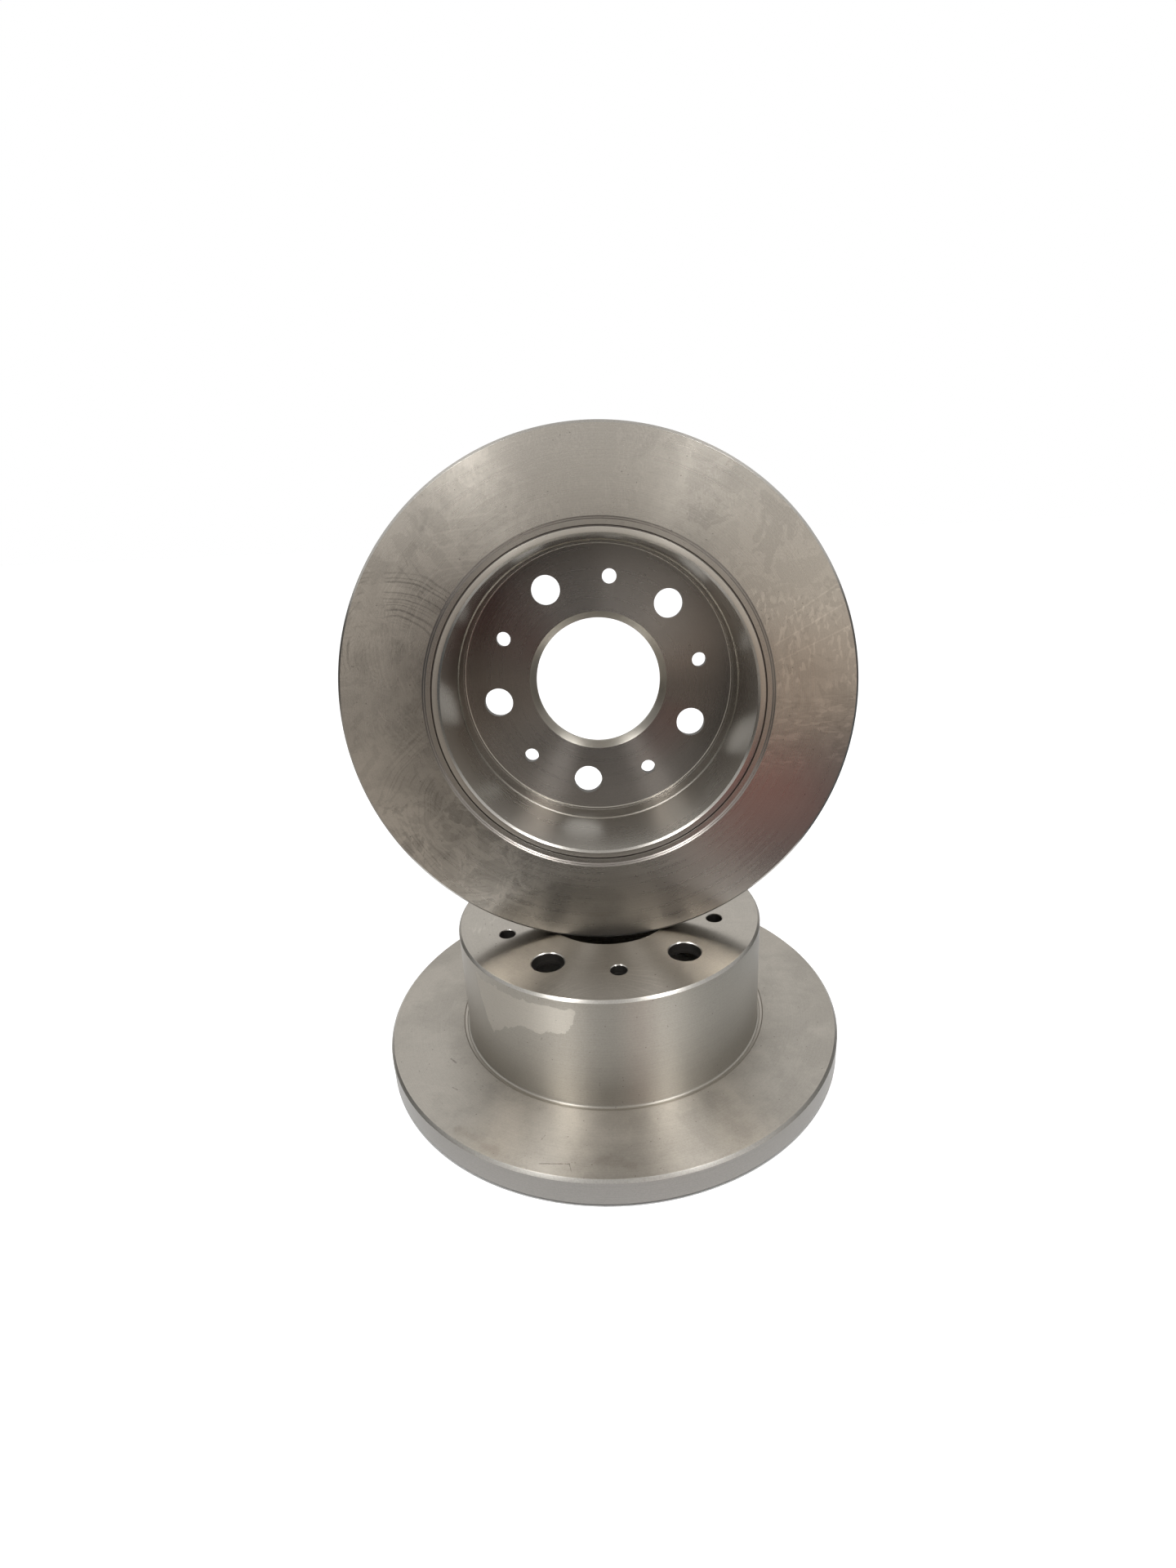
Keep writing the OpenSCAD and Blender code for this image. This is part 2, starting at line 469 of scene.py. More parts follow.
class Nodes:
    """The node tree of a material or a world, with short calls to add and link nodes."""

    def __init__(self, owner):
        owner.use_nodes = True
        self.owner = owner
        self.tree = owner.node_tree

    def add(self, kind, inputs=(), **settings):
        """Adds a node, sets its options, and fills its inputs by name or number."""
        node = self.tree.nodes.new("ShaderNode" + kind)
        for key, value in settings.items():
            setattr(node, key, value)
        for key, value in dict(inputs).items():
            self.put(node.inputs[key], value)
        return node

    def put(self, socket, value):
        """Links a socket to a node's output, or sets its value."""
        if isinstance(value, bpy.types.NodeSocket):
            self.tree.links.new(value, socket)
        else:
            socket.default_value = value

    def math(self, operation, a, b=0.0, c=0.0):
        """The result of one sum."""
        node = self.add("Math", {0: a, 1: b, 2: c}, operation=operation)
        return node.outputs[0]

    def product(self, first, *others):
        """All the values multiplied."""
        for other in others:
            first = self.math("MULTIPLY", first, other)
        return first

    def about(self, value, amount, middle):
        """A noise value spread by an amount about a middle."""
        return self.math("MULTIPLY_ADD", value, amount, self.math("ADD", middle, -amount / 2))

    def vector(self, operation, a, b=(0, 0, 0), output=0):
        """The result of one vector sum."""
        node = self.add("VectorMath", {0: a, 1: b}, operation=operation)
        return node.outputs[output]

    def scaled(self, vector, scale):
        """A vector or colour times a value."""
        node = self.add("VectorMath", {0: vector, "Scale": scale}, operation="SCALE")
        return node.outputs[0]

    def ramp(self, value, low, high, to_low=0.0, to_high=1.0):
        """A smooth step from one value to another."""
        node = self.add(
            "MapRange",
            {"Value": value, 1: low, 2: high, 3: to_low, 4: to_high},
            interpolation_type="SMOOTHSTEP",
        )
        return node.outputs[0]

    def fade(self, place, none, full):
        """0 at one place and 1 at another, given in millimetres."""
        return self.ramp(place, none * MM, full * MM)

    def noise(self, vector, scale, detail=2.0, roughness=0.5, distortion=0.0):
        """Cloudy noise in space."""
        node = self.add(
            "TexNoise",
            {
                "Vector": vector,
                "Scale": scale,
                "Detail": detail,
                "Roughness": roughness,
                "Distortion": distortion,
            },
        )
        return node.outputs[0]

    def lines(self, along, scale, detail=2.0):
        """Noise along one length, for turned grooves."""
        node = self.add(
            "TexNoise",
            {"W": along, "Scale": scale, "Detail": detail},
            noise_dimensions="1D",
        )
        return node.outputs[0]

    def ridge(self, value, middle, width):
        """1 where a value passes its middle, fading to 0 on both sides."""
        off = self.math("ABSOLUTE", self.math("SUBTRACT", value, middle))
        return self.ramp(off, width, 0.0)

    def curve(self, value, points):
        """A value read from a curve through points."""
        node = self.add("FloatCurve", {"Value": value})
        line = node.mapping.curves[0]
        for x, y in points[1:-1]:
            line.points.new(x, y)
        line.points[0].location = points[0]
        line.points[-1].location = points[-1]
        for point in line.points:
            point.handle_type = "VECTOR"
        node.mapping.update()
        return node.outputs[0]

    def mix(self, amount, a, b):
        """A mix of two colours."""
        node = self.add("Mix", {0: amount, 6: rgba(a), 7: rgba(b)}, data_type="RGBA")
        return node.outputs[2]


class TurnedMetal(Nodes):
    """Bare iron with fine grooves turned round Z, built up in layers."""

    def __init__(self, name, rgb, roughness, grain, marks=1.0, clouds=0.7):
        super().__init__(bpy.data.materials.new(name))
        self.place = self.add("TexCoord").outputs["Object"]
        self.x, self.y, self.z = self.add("SeparateXYZ", {0: self.place}).outputs
        self.flat = self.add("CombineXYZ", {"X": self.x, "Y": self.y}).outputs[0]
        self.radius = self.vector("LENGTH", self.flat, output="Value")
        z_share = 0.83
        along = self.math("MULTIPLY_ADD", self.z, z_share, self.radius)
        fine = self.lines(along, scale=2600.0, detail=3.0)
        wide = self.lines(along, scale=420.0)
        grit = self.noise(self.place, scale=1100.0, detail=3.0, roughness=0.7)
        cloud = self.noise(self.place, scale=11.0, detail=5.0, roughness=0.6, distortion=0.5)
        self.shade = self.about(fine, amount=0.24 * marks, middle=1.0)
        self.shade = self.about(wide, amount=0.08 * marks, middle=self.shade)
        self.shade = self.about(grit, amount=0.34 * marks, middle=self.shade)
        self.shade = self.about(cloud, amount=0.40 * clouds, middle=self.shade)
        self.rough = self.about(cloud, amount=0.20 * clouds, middle=roughness)
        self.rough = self.about(wide, amount=0.05 * marks, middle=self.rough)
        plain = self.add("RGB")
        plain.outputs[0].default_value = rgba(rgb)
        self.colour = plain.outputs[0]
        self.shader = self.tree.nodes["Principled BSDF"]
        grit_share = 0.5
        height = self.math("MULTIPLY_ADD", grit, grit_share, fine)
        bump = self.add("Bump", {"Height": height, "Strength": 0.10 * marks, "Distance": 0.1 * MM})
        self.put(self.shader.inputs["Normal"], bump.outputs[0])
        tangent = self.add("Tangent", direction_type="RADIAL", axis="Z")
        self.put(self.shader.inputs["Tangent"], tangent.outputs[0])
        self.shader.inputs["Metallic"].default_value = 1.0
        self.shader.inputs["Anisotropic"].default_value = grain
        quarter_turn = 0.25
        self.shader.inputs["Anisotropic Rotation"].default_value = quarter_turn

    def brighten(self, mask, amount):
        """Makes the metal lighter, or darker below 0, where a mask is 1."""
        self.shade = self.math("MULTIPLY_ADD", mask, amount, self.shade)

    def dull(self, mask, amount):
        """Makes the metal rougher where a mask is 1."""
        self.rough = self.math("MULTIPLY_ADD", mask, amount, self.rough)

    def lay(self, mask, rgb, amount):
        """Lays a colour over the metal where a mask is 1."""
        node = self.add(
            "Mix",
            {0: self.product(mask, amount), 6: self.colour, 7: rgba(rgb)},
            data_type="RGBA",
        )
        self.colour = node.outputs[2]

    def patches(self, scale, low, high, distortion=0.6):
        """1 in soft patches and 0 between them."""
        return self.ramp(self.noise(self.place, scale, distortion=distortion), low, high)

    def stroke(self, start, end, width, wobble):
        """1 along a stroke between two places in millimetres, with a wavering edge."""
        first = Vector(start).to_3d() * MM
        way = Vector(end).to_3d() * MM - first
        here = self.vector("SUBTRACT", self.flat, first[:])
        dot = self.vector("DOT_PRODUCT", here, way[:], "Value")
        share = self.add("Clamp", {0: self.math("DIVIDE", dot, way.length_squared)}).outputs[0]
        off = self.vector("DISTANCE", here, self.scaled(way[:], share), "Value")
        waver = self.noise(self.place, scale=0.5 / (width * MM), detail=3.0, roughness=0.6)
        off = self.about(waver, wobble * width * MM, off)
        return self.fade(off, 0.5 * width, 0.1 * width)

    def pits(self, rgb, scale=240.0):
        """Scatters small dark pits."""
        cells = self.add("TexVoronoi", {"Vector": self.place, "Scale": scale})
        dots = self.ramp(cells.outputs["Distance"], 0.11, 0.05)
        tone = self.add("SeparateColor", {0: cells.outputs["Color"]}).outputs[0]
        some = self.ramp(tone, 0.62, 0.64)
        self.lay(self.product(dots, some), rgb, amount=0.5)

    def film(self, mask, scale, amount):
        """Dried oil film, in patches with a fine edge: pale ones, and darker ones among them."""
        flow = self.noise(self.place, scale, detail=6.0, roughness=0.62, distortion=0.7)
        pale = self.ramp(flow, 0.48, 0.495)
        dark = self.ramp(flow, 0.57, 0.585)
        self.brighten(self.product(pale, mask), amount)
        self.brighten(self.product(dark, mask), -1.5 * amount)

    def contours(self, mask, stretch, spacing, amount):
        """Wavy lines that a cloth left in dried oil, closer where the noise is steeper."""
        across = self.vector("MULTIPLY", self.place, stretch)
        flow = self.noise(across, scale=1.0, roughness=0.55, distortion=0.8)
        wave = self.math("FRACT", self.math("DIVIDE", flow, spacing))
        lines = self.ridge(wave, middle=0.5, width=0.28)
        self.brighten(self.product(lines, self.patches(38.0, 0.44, 0.56), mask), amount)

    def wipe(self, centre, near, far, mask, amount):
        """Fine lines that a cloth left in arcs round a centre, between two distances in millimetres."""
        off = self.vector("DISTANCE", self.flat, (Vector(centre).to_3d() * MM)[:], "Value")
        bent = self.about(self.noise(self.place, scale=20.0), amount=16 * MM, middle=off)
        streaks = self.ramp(self.lines(bent, scale=620.0), 0.50, 0.64)
        edge = 8
        inside = self.fade(off, near, near + edge)
        outside = self.fade(off, far, far - edge)
        patches = self.patches(42.0, 0.40, 0.60)
        self.brighten(self.product(streaks, patches, inside, outside, mask), amount)

    def flecks(self, mask, stretch, amount):
        """Short pale strokes, longer along one way than the other."""
        across = self.vector("MULTIPLY", self.place, stretch)
        flow = self.noise(across, scale=1.0, detail=1.0, distortion=0.6)
        strokes = self.ramp(flow, 0.53, 0.60)
        patches = self.patches(40.0, 0.36, 0.56, distortion=0.0)
        self.brighten(self.product(strokes, patches, mask), amount)

    def runs(self, mask, scale):
        """Oil that ran out in lobes, each with dark tide lines."""
        flow = self.noise(self.place, scale, detail=2.5, distortion=1.3)
        self.brighten(self.product(self.ramp(flow, 0.50, 0.53), mask), -0.08)
        for level in (0.51, 0.54, 0.58, 0.63):
            self.brighten(self.product(self.ridge(flow, level, width=0.008), mask), -0.10)

    def finish(self):
        """Links the layers to the shader and returns the material."""
        self.put(self.shader.inputs["Base Color"], self.scaled(self.colour, self.shade))
        self.put(self.shader.inputs["Roughness"], self.rough)
        return self.owner


# Metal of each zone, with places in the rotor's own x and y in millimetres

# brown stains on the lower ring: start, end, width, strength
STAINS = (
    ((-84, -104), (-64, -118), 11.0, 0.20),
    ((-10, -127), (6, -131), 7.0, 0.14),
)

# scratches on the lower ring: start, end, width
SCRATCHES = (
    ((-40, -127.5), (-25, -128.5), 0.9),
    ((-25, -128.5), (-24, -133), 0.7),
    ((-97, -49.5), (-93.5, -53), 1.3),
    ((-39.5, -112.5), (-38, -110), 0.9),
    ((-92, -73), (-89, -75), 0.8),
)

# dark strokes on the upper left of the upper ring: start, end
DARK_STROKES = (
    ((-100, -75), (-88, -60)),
    ((-94, -78), (-83, -61)),
    ((-97, -82), (-95, -75)),
)

# dark spots beside them: start, end
SPOTS = (
    ((-94, -80), (-91, -85)),
    ((-86, -92), (-83, -97)),
    ((-101, -68), (-98, -73)),
)

# smudges at the foot of the upper ring, partly real smudges and partly a painted reflection of the lower
# rotor's dark bore: start, end, width
SMUDGES_AND_PAINTED_REFLECTION = (
    ((-26, 112), (-2, 120), 26.0),
    ((-8, 130), (16, 129), 22.0),
)

# pale strokes on the right of the upper ring: start, end
PALE_STROKES = (
    ((94, -26), (133, -47.5)),
    ((94, -16.5), (137, -36)),
    ((99, -38.5), (129, -58)),
)

# lower edge of the pale patch on the hat wall: share of its width, share of its height
PATCH_EDGE = (
    (0.0, 0.85),
    (0.136, 0.25),
    (0.205, 0.10),
    (0.386, 0.35),
    (0.523, 0.475),
    (0.70, 0.475),
    (0.909, 0.55),
    (0.977, 0.75),
    (1.0, 0.90),
)


def plain_zone(name, rgb, roughness, grain, marks=0.8, clouds=0.4):
    """Turned metal with nothing on it."""
    return TurnedMetal(name, rgb, roughness, grain, marks, clouds).finish()


def lower_pad_face(looks):
    """Ring of the lower rotor, with brown oil stains and a few scratches near its edge, and a darker
    streak at its right front that is partly painted reflection and partly the metal's own tone.
    """
    m = TurnedMetal("lower_pad_face", looks.iron, roughness=0.42, grain=0.9)
    m.pits(looks.dirt)
    m.pits(looks.dirt, scale=430.0)
    m.film(0.6, scale=30.0, amount=0.05)
    mottle = m.noise(m.place, scale=24.0, detail=5.0, roughness=0.62)
    m.brighten(m.ramp(mottle, 0.62, 0.42, to_low=-0.02, to_high=0.13), 1.0)
    # darker streak at the right front: partly painted reflection, partly the metal's own tone
    m.brighten(m.stroke((53, -92), (65, -116), width=24.0, wobble=0.7), -0.14)
    for start, end, width, strength in STAINS:
        m.lay(m.stroke(start, end, width, wobble=2.0), looks.stain, strength)
    for start, end, width in SCRATCHES:
        m.lay(m.stroke(start, end, width, wobble=1.4), looks.dirt, amount=0.45)
    return m.finish()


def oil_on_left(m):
    """Run oil, cloth marks and smudges on the left of the upper ring, whose y runs downward; the broad
    shading there and the smudges at its foot are partly painted reflection.
    """
    left = m.fade(m.x, -10, -60)
    low = m.product(left, m.fade(m.y, 25, 60))
    high = m.product(left, m.fade(m.y, 60, 25))
    between = m.product(left, m.fade(m.y, 32, 8), m.fade(m.y, -72, -52))
    m.runs(low, scale=30.0)
    m.film(low, scale=56.0, amount=0.15)
    m.film(high, scale=34.0, amount=0.07)
    m.contours(between, stretch=(58.0, 40.0, 1.0), spacing=0.045, amount=-0.12)
    m.wipe((-106, -28), near=14, far=50, mask=m.fade(m.y, -10, -36), amount=-0.30)
    m.wipe((-70, 60), near=20, far=60, mask=left, amount=-0.16)
    m.wipe((-60, -30), near=30, far=75, mask=left, amount=0.09)
    mottle = m.noise(m.place, scale=46.0, detail=5.0, roughness=0.62)
    m.brighten(m.product(m.ramp(mottle, 0.45, 0.60), left), -0.10)
    # broad shading on the left, lighter toward the rim and darker inward from the middle down: partly
    # painted reflection, partly the metal's own tone
    m.brighten(m.product(left, m.fade(m.radius, 110, 138)), 0.09)
    m.brighten(m.product(left, m.fade(m.radius, 122, 96), m.fade(m.y, -50, -15)), -0.13)
    for start, end in DARK_STROKES:
        m.brighten(m.stroke(start, end, width=1.2, wobble=1.4), -0.12)
    for start, end in SPOTS:
        m.brighten(m.stroke(start, end, width=4.0, wobble=1.8), -0.10)
    # dark smudges, partly a painted reflection of the lower rotor's dark bore
    for start, end, width in SMUDGES_AND_PAINTED_REFLECTION:
        m.brighten(m.stroke(start, end, width, wobble=1.6), -0.16)


def wipes_on_right(m):
    """Oil film, flecks and cloth marks on the right and the top of the upper ring, and a darker streak at
    its upper right that is partly painted reflection.
    """
    right = m.fade(m.x, 30, 80)
    above = m.product(right, m.fade(m.y, 2, -4), m.fade(m.y, -62, -50))
    below = m.product(right, m.fade(m.y, -2, 6), m.fade(m.y, 48, 36))
    m.film(m.product(m.fade(m.x, 0, 60), m.fade(m.y, 60, 25)), scale=42.0, amount=0.075)
    # darker streak at the upper right: partly painted reflection, partly the metal's own tone
    m.brighten(m.stroke((50, -86), (73, -126), width=36.0, wobble=0.7), -0.20)
    m.flecks(above, stretch=(430.0, 170.0, 1.0), amount=0.22)
    m.flecks(below, stretch=(120.0, 430.0, 1.0), amount=0.22)
    m.contours(below, stretch=(34.0, 230.0, 1.0), spacing=0.16, amount=-0.12)
    m.contours(m.fade(m.y, -60, -95), stretch=(150.0, 60.0, 1.0), spacing=0.10, amount=0.08)
    for start, end in PALE_STROKES:
        m.brighten(m.stroke(start, end, width=1.3, wobble=1.2), 0.15)


def upper_pad_face(looks):
    """Ring of the upper rotor, with run oil on its left and wipe marks on its right, and broad tones that
    are partly painted reflection.
    """
    m = TurnedMetal("upper_pad_face", looks.iron, roughness=0.28, grain=0.86, clouds=0.6)
    m.pits(looks.dirt)
    oil_on_left(m)
    wipes_on_right(m)
    return m.finish()


def lower_hat_wall(looks):
    """Wall of the lower hat, with a pale patch of dried oil under its edge on the left."""
    m = TurnedMetal("lower_hat_wall", looks.wall, roughness=0.40, grain=0.92)
    m.pits(looks.dirt)
    m.pits(looks.dirt, scale=520.0)
    patch_start = math.radians(-146)
    patch_sweep = math.radians(44)
    patch_foot = 40 * MM
    patch_h = 40 * MM
    waver = 10 * MM
    turn = m.math("SUBTRACT", m.math("ARCTAN2", m.y, m.x), patch_start)
    ragged = m.noise(m.place, scale=110.0, detail=4.0, roughness=0.65)
    share = m.about(ragged, amount=0.10, middle=m.math("DIVIDE", turn, patch_sweep))
    edge = m.math("MULTIPLY_ADD", m.curve(share, PATCH_EDGE), patch_h, patch_foot)
    over_edge = m.math("SUBTRACT", m.z, m.about(ragged, waver, edge))
    above = m.fade(over_edge, -0.3, 0.3)
    below = m.fade(m.about(ragged, waver, m.z), 77.0, 76.4)
    patch = m.product(above, below, m.ramp(share, 0.0, 0.02), m.ramp(share, 1.0, 0.98))
    m.brighten(patch, 0.36)
    m.dull(patch, 0.12)
    return m.finish()


def hat_face(name, looks):
    """Wheel face, with dried oil wiped about."""
    m = TurnedMetal(name, looks.iron, roughness=0.31, grain=0.92, marks=0.9)
    m.pits(looks.dirt, scale=200.0)
    m.film(0.5, scale=40.0, amount=0.05)
    m.contours(0.6, stretch=(70.0, 110.0, 70.0), spacing=0.10, amount=0.06)
    scribble = m.stroke((-78, -16), (-68, 4), width=16.0, wobble=0.6)
    m.flecks(scribble, stretch=(420.0, 140.0, 1.0), amount=0.22)
    m.wipe((0, -110), near=22, far=58, mask=m.fade(m.y, -30, -45), amount=0.12)
    return m.finish()


def hub_face(name, looks):
    """Dark face inside the hat, paler over one side as a painted sheen that is partly an oil film."""
    m = TurnedMetal(name, looks.plate, roughness=0.28, grain=1.0, marks=0.8, clouds=0.4)
    # painted sheen, partly an oil film: greatest, at 1.41, halfway between +x and -y
    side = m.math("DIVIDE", m.math("SUBTRACT", m.x, m.y), m.radius)
    m.brighten(m.ramp(side, 0.85, 1.35), 0.50)
    return m.finish()


def rotor_materials(prefix, looks, pad_face, hat_wall):
    """One turned material for each zone of a rotor."""
    return {
        "pad_face": pad_face,
        # the rim's darker colour is painted shade, for the shaded table that the rim mirrors
        "rim": plain_zone(f"{prefix}_rim", looks.rim, roughness=0.42, grain=0.7, marks=1.0, clouds=0.8),
        "chamfer": plain_zone(f"{prefix}_chamfer", looks.chamfer, roughness=0.32, grain=0.6, marks=1.8),
        "foot": plain_zone(f"{prefix}_foot", looks.iron, roughness=0.34, grain=0.7),
        "hat_wall": hat_wall,
        "hat_face": hat_face(f"{prefix}_hat_face", looks),
        "bore": plain_zone(f"{prefix}_bore", looks.wall, roughness=0.34, grain=0.7),
        "hub_face": hub_face(f"{prefix}_hub_face", looks),
        "drum": plain_zone(f"{prefix}_drum", looks.drum, roughness=0.27, grain=0.5, marks=0.5, clouds=0.5),
        "land": plain_zone(f"{prefix}_land", looks.iron, roughness=0.28, grain=0.8),
        "groove": plain_zone(f"{prefix}_groove", looks.plate, roughness=0.34, grain=0.6),
        "hole": plain_zone(f"{prefix}_hole", looks.hole, roughness=0.45, grain=0.4),
    }


# Rotors


def upper_pose():
    """The upper rotor's own axis is its joint's, with its open face along it."""
    joint = frame["joints"][0]
    back = -Vector(joint["axis"]).normalized()
    across = Vector((1, 0, 0))
    down = back.cross(across)
    turn = Matrix((across, down, back)).transposed().to_4x4()
    return Matrix.Translation(joint["pos_m"]) @ turn


class ROTOR_OT_lower(bpy.types.Operator):
    """Makes the rotor that lies hat up."""

    bl_idname = "rotor.lower"
    bl_label = "Lower Rotor"

    def execute(self, context):
        sizes = context.scene.rotor_sizes
        looks = context.scene.rotor_looks
        materials = rotor_materials("lower", looks, lower_pad_face(looks), lower_hat_wall(looks))
        rotor = make_rotor("lower_disc", sizes, materials, sizes.lower_turn, Matrix())
        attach(rotor, "lower")
        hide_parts("lower_rotor")
        return {"FINISHED"}


class ROTOR_OT_upper(bpy.types.Operator):
    """Makes the rotor that stands on its rim."""

    bl_idname = "rotor.upper"
    bl_label = "Upper Rotor"

    def execute(self, context):
        sizes = context.scene.rotor_sizes
        looks = context.scene.rotor_looks
        hat_wall = plain_zone(
            "upper_hat_wall", looks.wall, roughness=0.40, grain=0.9, marks=1.0, clouds=0.7
        )
        materials = rotor_materials("upper", looks, upper_pad_face(looks), hat_wall)
        rotor = make_rotor("upper_disc", sizes, materials, sizes.upper_turn, upper_pose())
        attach(rotor, "upper")
        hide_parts("upper_rotor")
        return {"FINISHED"}


# Stage

# turns from +X, in degrees, between which the room lies before and behind the pair
FRONT_ARC = (140, 400)
BACK_ARC = (40, 140)
ARC_SHEET_STEPS = 52


def seen_directly(n):
    """1 where a ray comes from the camera, a mirror or glass, else 0."""
    path = n.add("LightPath").outputs
    mirrored = n.math("MAXIMUM", path["Is Glossy Ray"], path["Is Transmission Ray"])
    return n.math("MAXIMUM", path["Is Camera Ray"], mirrored)


def stage_sheet(name, verts, faces, material):
    """A sheet that is no part of the rotors."""
    mesh = bpy.data.meshes.new(name)
    mesh.from_pydata(verts, [], faces)
    mesh.materials.append(material)
    sheet = new_object(name, mesh)
    return sheet


def white_table(disc_r):
    """A white table that keeps the rotors' shadow and stays dark under the lower rotor."""
    n = Nodes(bpy.data.materials.new("white_table"))
    paint = n.tree.nodes["Principled BSDF"]
    paint.inputs["Base Color"].default_value = (0.62, 0.62, 0.62, 1.0)
    paint.inputs["Roughness"].default_value = 0.9
    place = n.add("TexCoord").outputs["Object"]
    open_table = n.math("GREATER_THAN", n.vector("LENGTH", place, output="Value"), disc_r)
    white_share = 0.8
    glow = n.add("Emission", {"Strength": n.product(seen_directly(n), white_share, open_table)})
    both = n.add("AddShader", {0: paint.outputs[0], 1: glow.outputs[0]})
    n.put(n.tree.nodes["Material Output"].inputs["Surface"], both.outputs[0])
    half = 6.0
    drop = 0.2 * MM
    corners = [(-half, -half, 0), (half, -half, 0), (half, half, 0), (-half, half, 0)]
    table = stage_sheet("table", corners, [(0, 1, 2, 3)], n.owner)
    table.location.z = -drop


def room_glow(name, left, right, reach, foot=1.0, top=1.0, rise=1.0, sides=1.0):
    """A glow that changes from left to right, from its foot up, and from the front to the sides."""
    n = Nodes(bpy.data.materials.new(name))
    place = n.add("TexCoord").outputs["Object"]
    across, away, up = n.add("SeparateXYZ", {0: place}).outputs
    tone = n.mix(n.ramp(across, -reach, reach), left, right)
    front_y = -1.15
    side_y = -0.45
    front_to_side = n.ramp(away, front_y, side_y, to_low=1.0, to_high=sides)
    foot_to_top = n.ramp(up, 0.0, rise, to_low=foot, to_high=top)
    strength = n.product(foot_to_top, front_to_side)
    glow = n.add("Emission", {"Color": tone, "Strength": strength})
    n.put(n.tree.nodes["Material Output"].inputs["Surface"], glow.outputs[0])
    return n.owner


def hide_sheet(sheet):
    """Leaves a stage sheet to be seen in mirrors only, with no shadow."""
    sheet.visible_camera = False
    sheet.visible_diffuse = False
    sheet.visible_shadow = False


def arc_sheet(name, edges, arc, material):
    """A hidden sheet between two (radius, height) edges, swept round the pair along an arc."""
    start, end = (math.radians(turn) for turn in arc)
    verts = []
    for i in range(ARC_SHEET_STEPS + 1):
        turn = start + (end - start) * i / ARC_SHEET_STEPS
        verts.extend((radius * math.cos(turn), radius * math.sin(turn), z) for radius, z in edges)
    faces = [(2 * i, 2 * i + 1, 2 * i + 3, 2 * i + 2) for i in range(ARC_SHEET_STEPS)]
    hide_sheet(stage_sheet(name, verts, faces, material))


def card(name, left, right, near, far, rgb):
    """A hidden sheet of one brightness, from left to right between two (y, z) edges."""
    corners = [(left, *near), (right, *near), (right, *far), (left, *far)]
    glow = room_glow(name, rgb, rgb, reach=1.0)
    hide_sheet(stage_sheet(name, corners, [(0, 1, 2, 3)], glow))


def dim_room(s, room):
    """The room round the table, which the bare metal mirrors and the camera doesn't see."""
    wall_reach = 0.5 * s.room_r
    floor_reach = 0.2 * s.room_r
    wall = room_glow(
        "room_wall",
        room.wall_left,
        room.wall_right,
        wall_reach,
        foot=room.wall_foot,
        top=room.wall_top,
        rise=s.wall_rise,
        sides=room.sides,
    )
    floor = room_glow("room_floor", room.floor_left, room.floor_right, floor_reach)
    behind = room_glow("room_behind", room.behind, room.behind, wall_reach)
    lift = 0.5 * MM
    wall_edges = ((s.room_r, 0), (s.room_r, s.room_h))
    floor_edges = ((s.floor_r, lift), (s.room_r, lift))
    arc_sheet("room_wall", wall_edges, FRONT_ARC, wall)
    arc_sheet("room_floor", floor_edges, FRONT_ARC, floor)
    arc_sheet("floor_behind", floor_edges, BACK_ARC, behind)
    arc_sheet("wall_behind", wall_edges, BACK_ARC, behind)
    back = -s.flag_d
    over_floor = 2 * lift
    card("dark_mat", -s.mat_w, s.mat_w, (-s.mat_d, over_floor), (back, over_floor), room.dark)
    card("low_flag", -s.flag_left, s.flag_right, (back, 0), (back, s.flag_h), room.dark)
    front_edge = (-s.ceiling_front, s.ceiling_h)
    back_edge = (s.ceiling_back, s.ceiling_h)
    card("ceiling", -s.ceiling_w, s.ceiling_w, front_edge, back_edge, room.ceiling)
    red_top = (back, s.red_h)
    card("red_card", s.red_left, s.red_right, (-s.red_d, over_floor), red_top, room.red)
    card("tan_card", s.tan_left, s.tan_right, red_top, (back, s.tan_h), room.tan)


def studio_world(scene):
    """White where it is seen, softer where it only lights."""
    n = Nodes(bpy.data.worlds.new("studio"))
    scene.world = n.owner
    light = n.tree.nodes["Background"]
    light.inputs["Color"].default_value = WHITE
    light_strength = 0.45
    light.inputs["Strength"].default_value = light_strength
    seen = n.add("Background", {"Color": WHITE, "Strength": 1.0})
    mix = n.add("MixShader", {0: seen_directly(n), 1: light.outputs[0], 2: seen.outputs[0]})
    n.put(n.tree.nodes["World Output"].inputs["Surface"], mix.outputs[0])


def soft_lamp(name, way, stage):
    """A square lamp that looks at the pair from a direction."""
    data = bpy.data.lights.new(name, "AREA")
    data.size = stage.lamp_size
    data.energy = stage.lamp_power
    lamp = new_object(name, data)
    toward = Vector(way).normalized()
    lamp.location = Vector((0, 0, stage.look_z)) + toward * stage.lamp_distance
    lamp.rotation_euler = toward.to_track_quat("Z", "Y").to_euler()


def photo_camera(scene, stage):
    """The camera at the photograph's angle."""
    data = bpy.data.cameras.new("camera")
    data.sensor_width = 36.0
    data.lens = stage.focal_px * data.sensor_width / PHOTO_H
    data.shift_x = (PHOTO_W / 2 - stage.centre_x) / PHOTO_H
    data.shift_y = (stage.centre_y - PHOTO_H / 2) / PHOTO_H
    data.clip_start = 10 * MM
    camera = new_object("camera", data)
    away = Vector((0, -math.cos(stage.elevation), math.sin(stage.elevation)))
    place = Matrix.Translation(Vector((0, 0, stage.look_z)) + away * stage.distance)
    tilt = Matrix.Rotation(math.pi / 2 - stage.elevation, 4, "X")
    camera.matrix_world = place @ tilt @ Matrix.Rotation(-stage.roll, 4, "Z")
    scene.camera = camera


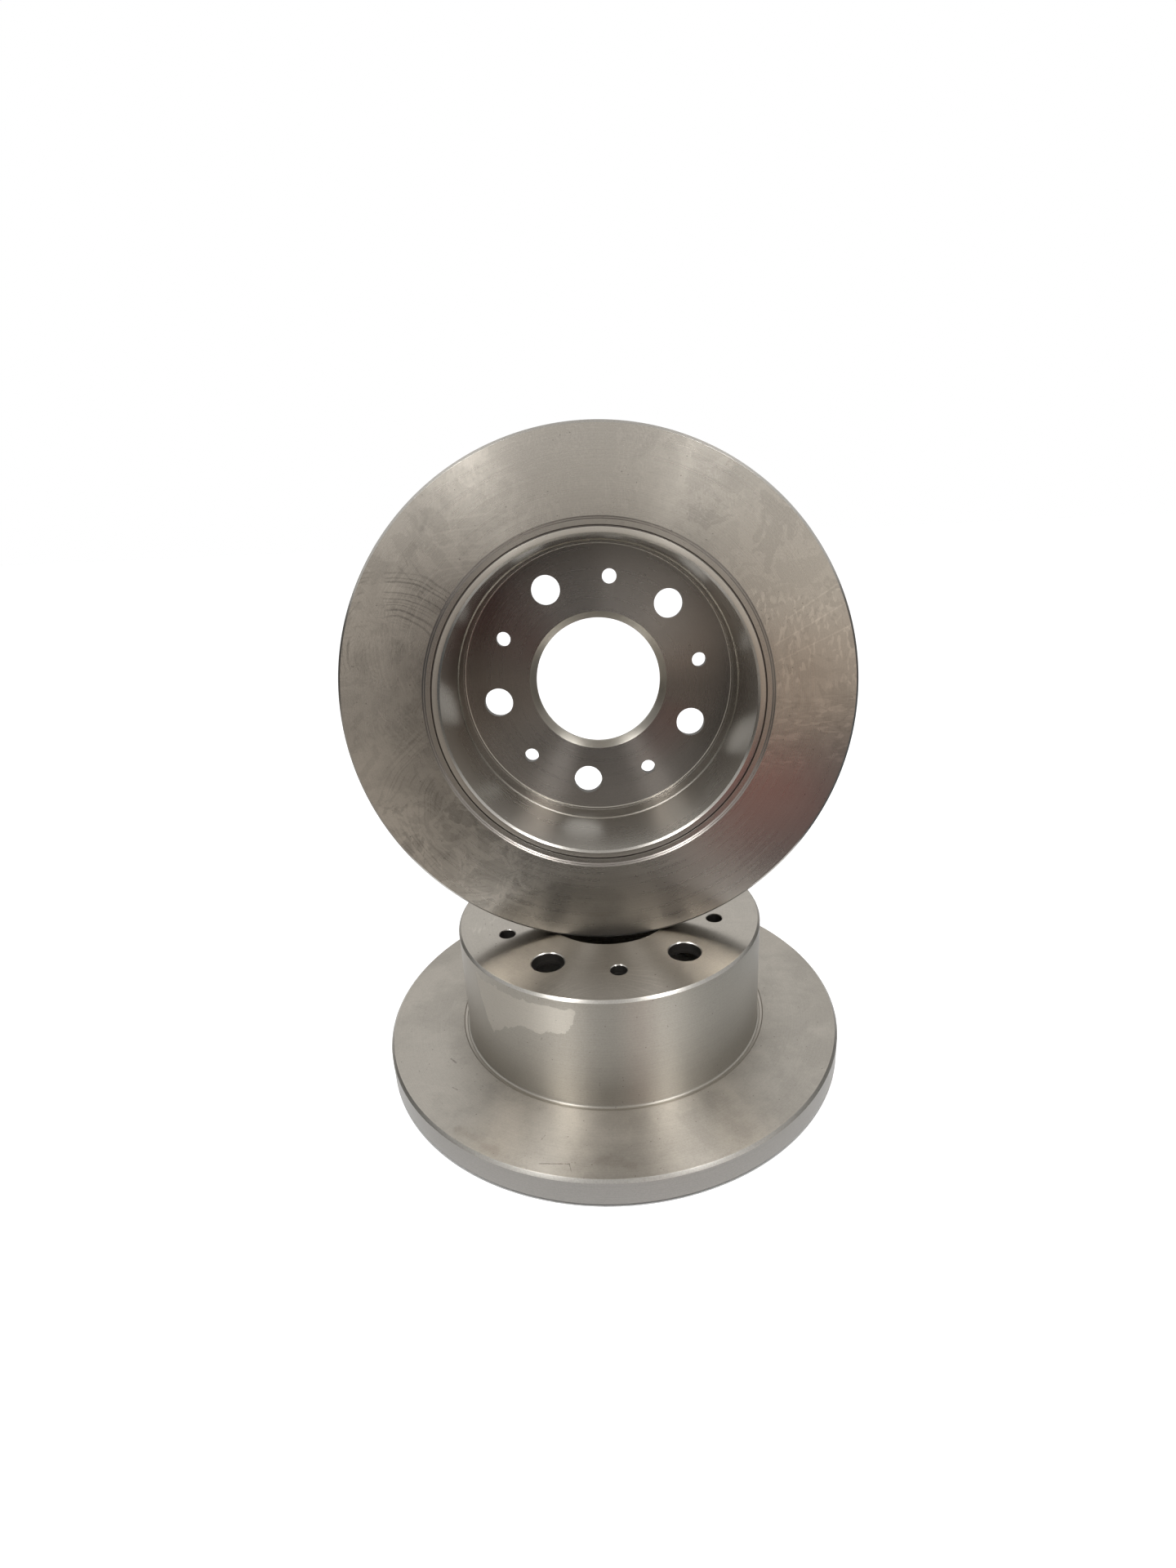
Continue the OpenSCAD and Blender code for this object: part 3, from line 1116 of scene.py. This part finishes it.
class ROTOR_OT_stage(bpy.types.Operator):
    """Makes the table, the room, the world, the lamps and the camera."""

    bl_idname = "rotor.stage"
    bl_label = "Stage"

    def execute(self, context):
        scene = context.scene
        stage = scene.rotor_stage
        white_table(scene.rotor_sizes.disc_r)
        dim_room(stage, scene.rotor_room)
        studio_world(scene)
        x, y, z = stage.lamp_way
        soft_lamp("lamp_left", (-x, y, z), stage)
        soft_lamp("lamp_right", (x, y, z), stage)
        photo_camera(scene, stage)
        scene.view_settings.view_transform = "Standard"
        return {"FINISHED"}


# Add-on


class ROTOR_PT_panel(bpy.types.Panel):
    """Lists the pieces of the pair and their sizes."""

    bl_idname = "ROTOR_PT_panel"
    bl_label = "Rotor Pair"
    bl_space_type = "VIEW_3D"
    bl_region_type = "UI"
    bl_category = "Rotors"

    def draw(self, context):
        for operator in (ROTOR_OT_stage, ROTOR_OT_lower, ROTOR_OT_upper):
            self.layout.operator(operator.bl_idname)
        scene = context.scene
        for group in (scene.rotor_sizes, scene.rotor_looks, scene.rotor_room, scene.rotor_stage):
            box = self.layout.box()
            for key in group.__annotations__:
                box.prop(group, key)


CLASSES = (
    RotorSizes,
    MetalLooks,
    RoomLooks,
    StageSizes,
    ROTOR_OT_stage,
    ROTOR_OT_lower,
    ROTOR_OT_upper,
    ROTOR_PT_panel,
)


def register():
    """Registers the classes and gives each scene its properties."""
    for cls in CLASSES:
        bpy.utils.register_class(cls)
    bpy.types.Scene.rotor_sizes = PointerProperty(type=RotorSizes)
    bpy.types.Scene.rotor_looks = PointerProperty(type=MetalLooks)
    bpy.types.Scene.rotor_room = PointerProperty(type=RoomLooks)
    bpy.types.Scene.rotor_stage = PointerProperty(type=StageSizes)


def unregister():
    """Takes the properties and the classes away again."""
    del bpy.types.Scene.rotor_stage
    del bpy.types.Scene.rotor_room
    del bpy.types.Scene.rotor_looks
    del bpy.types.Scene.rotor_sizes
    for cls in reversed(CLASSES):
        bpy.utils.unregister_class(cls)


def main():
    register()
    bpy.ops.rotor.stage()
    bpy.ops.rotor.lower()
    bpy.ops.rotor.upper()


if __name__ == "__main__":
    main()
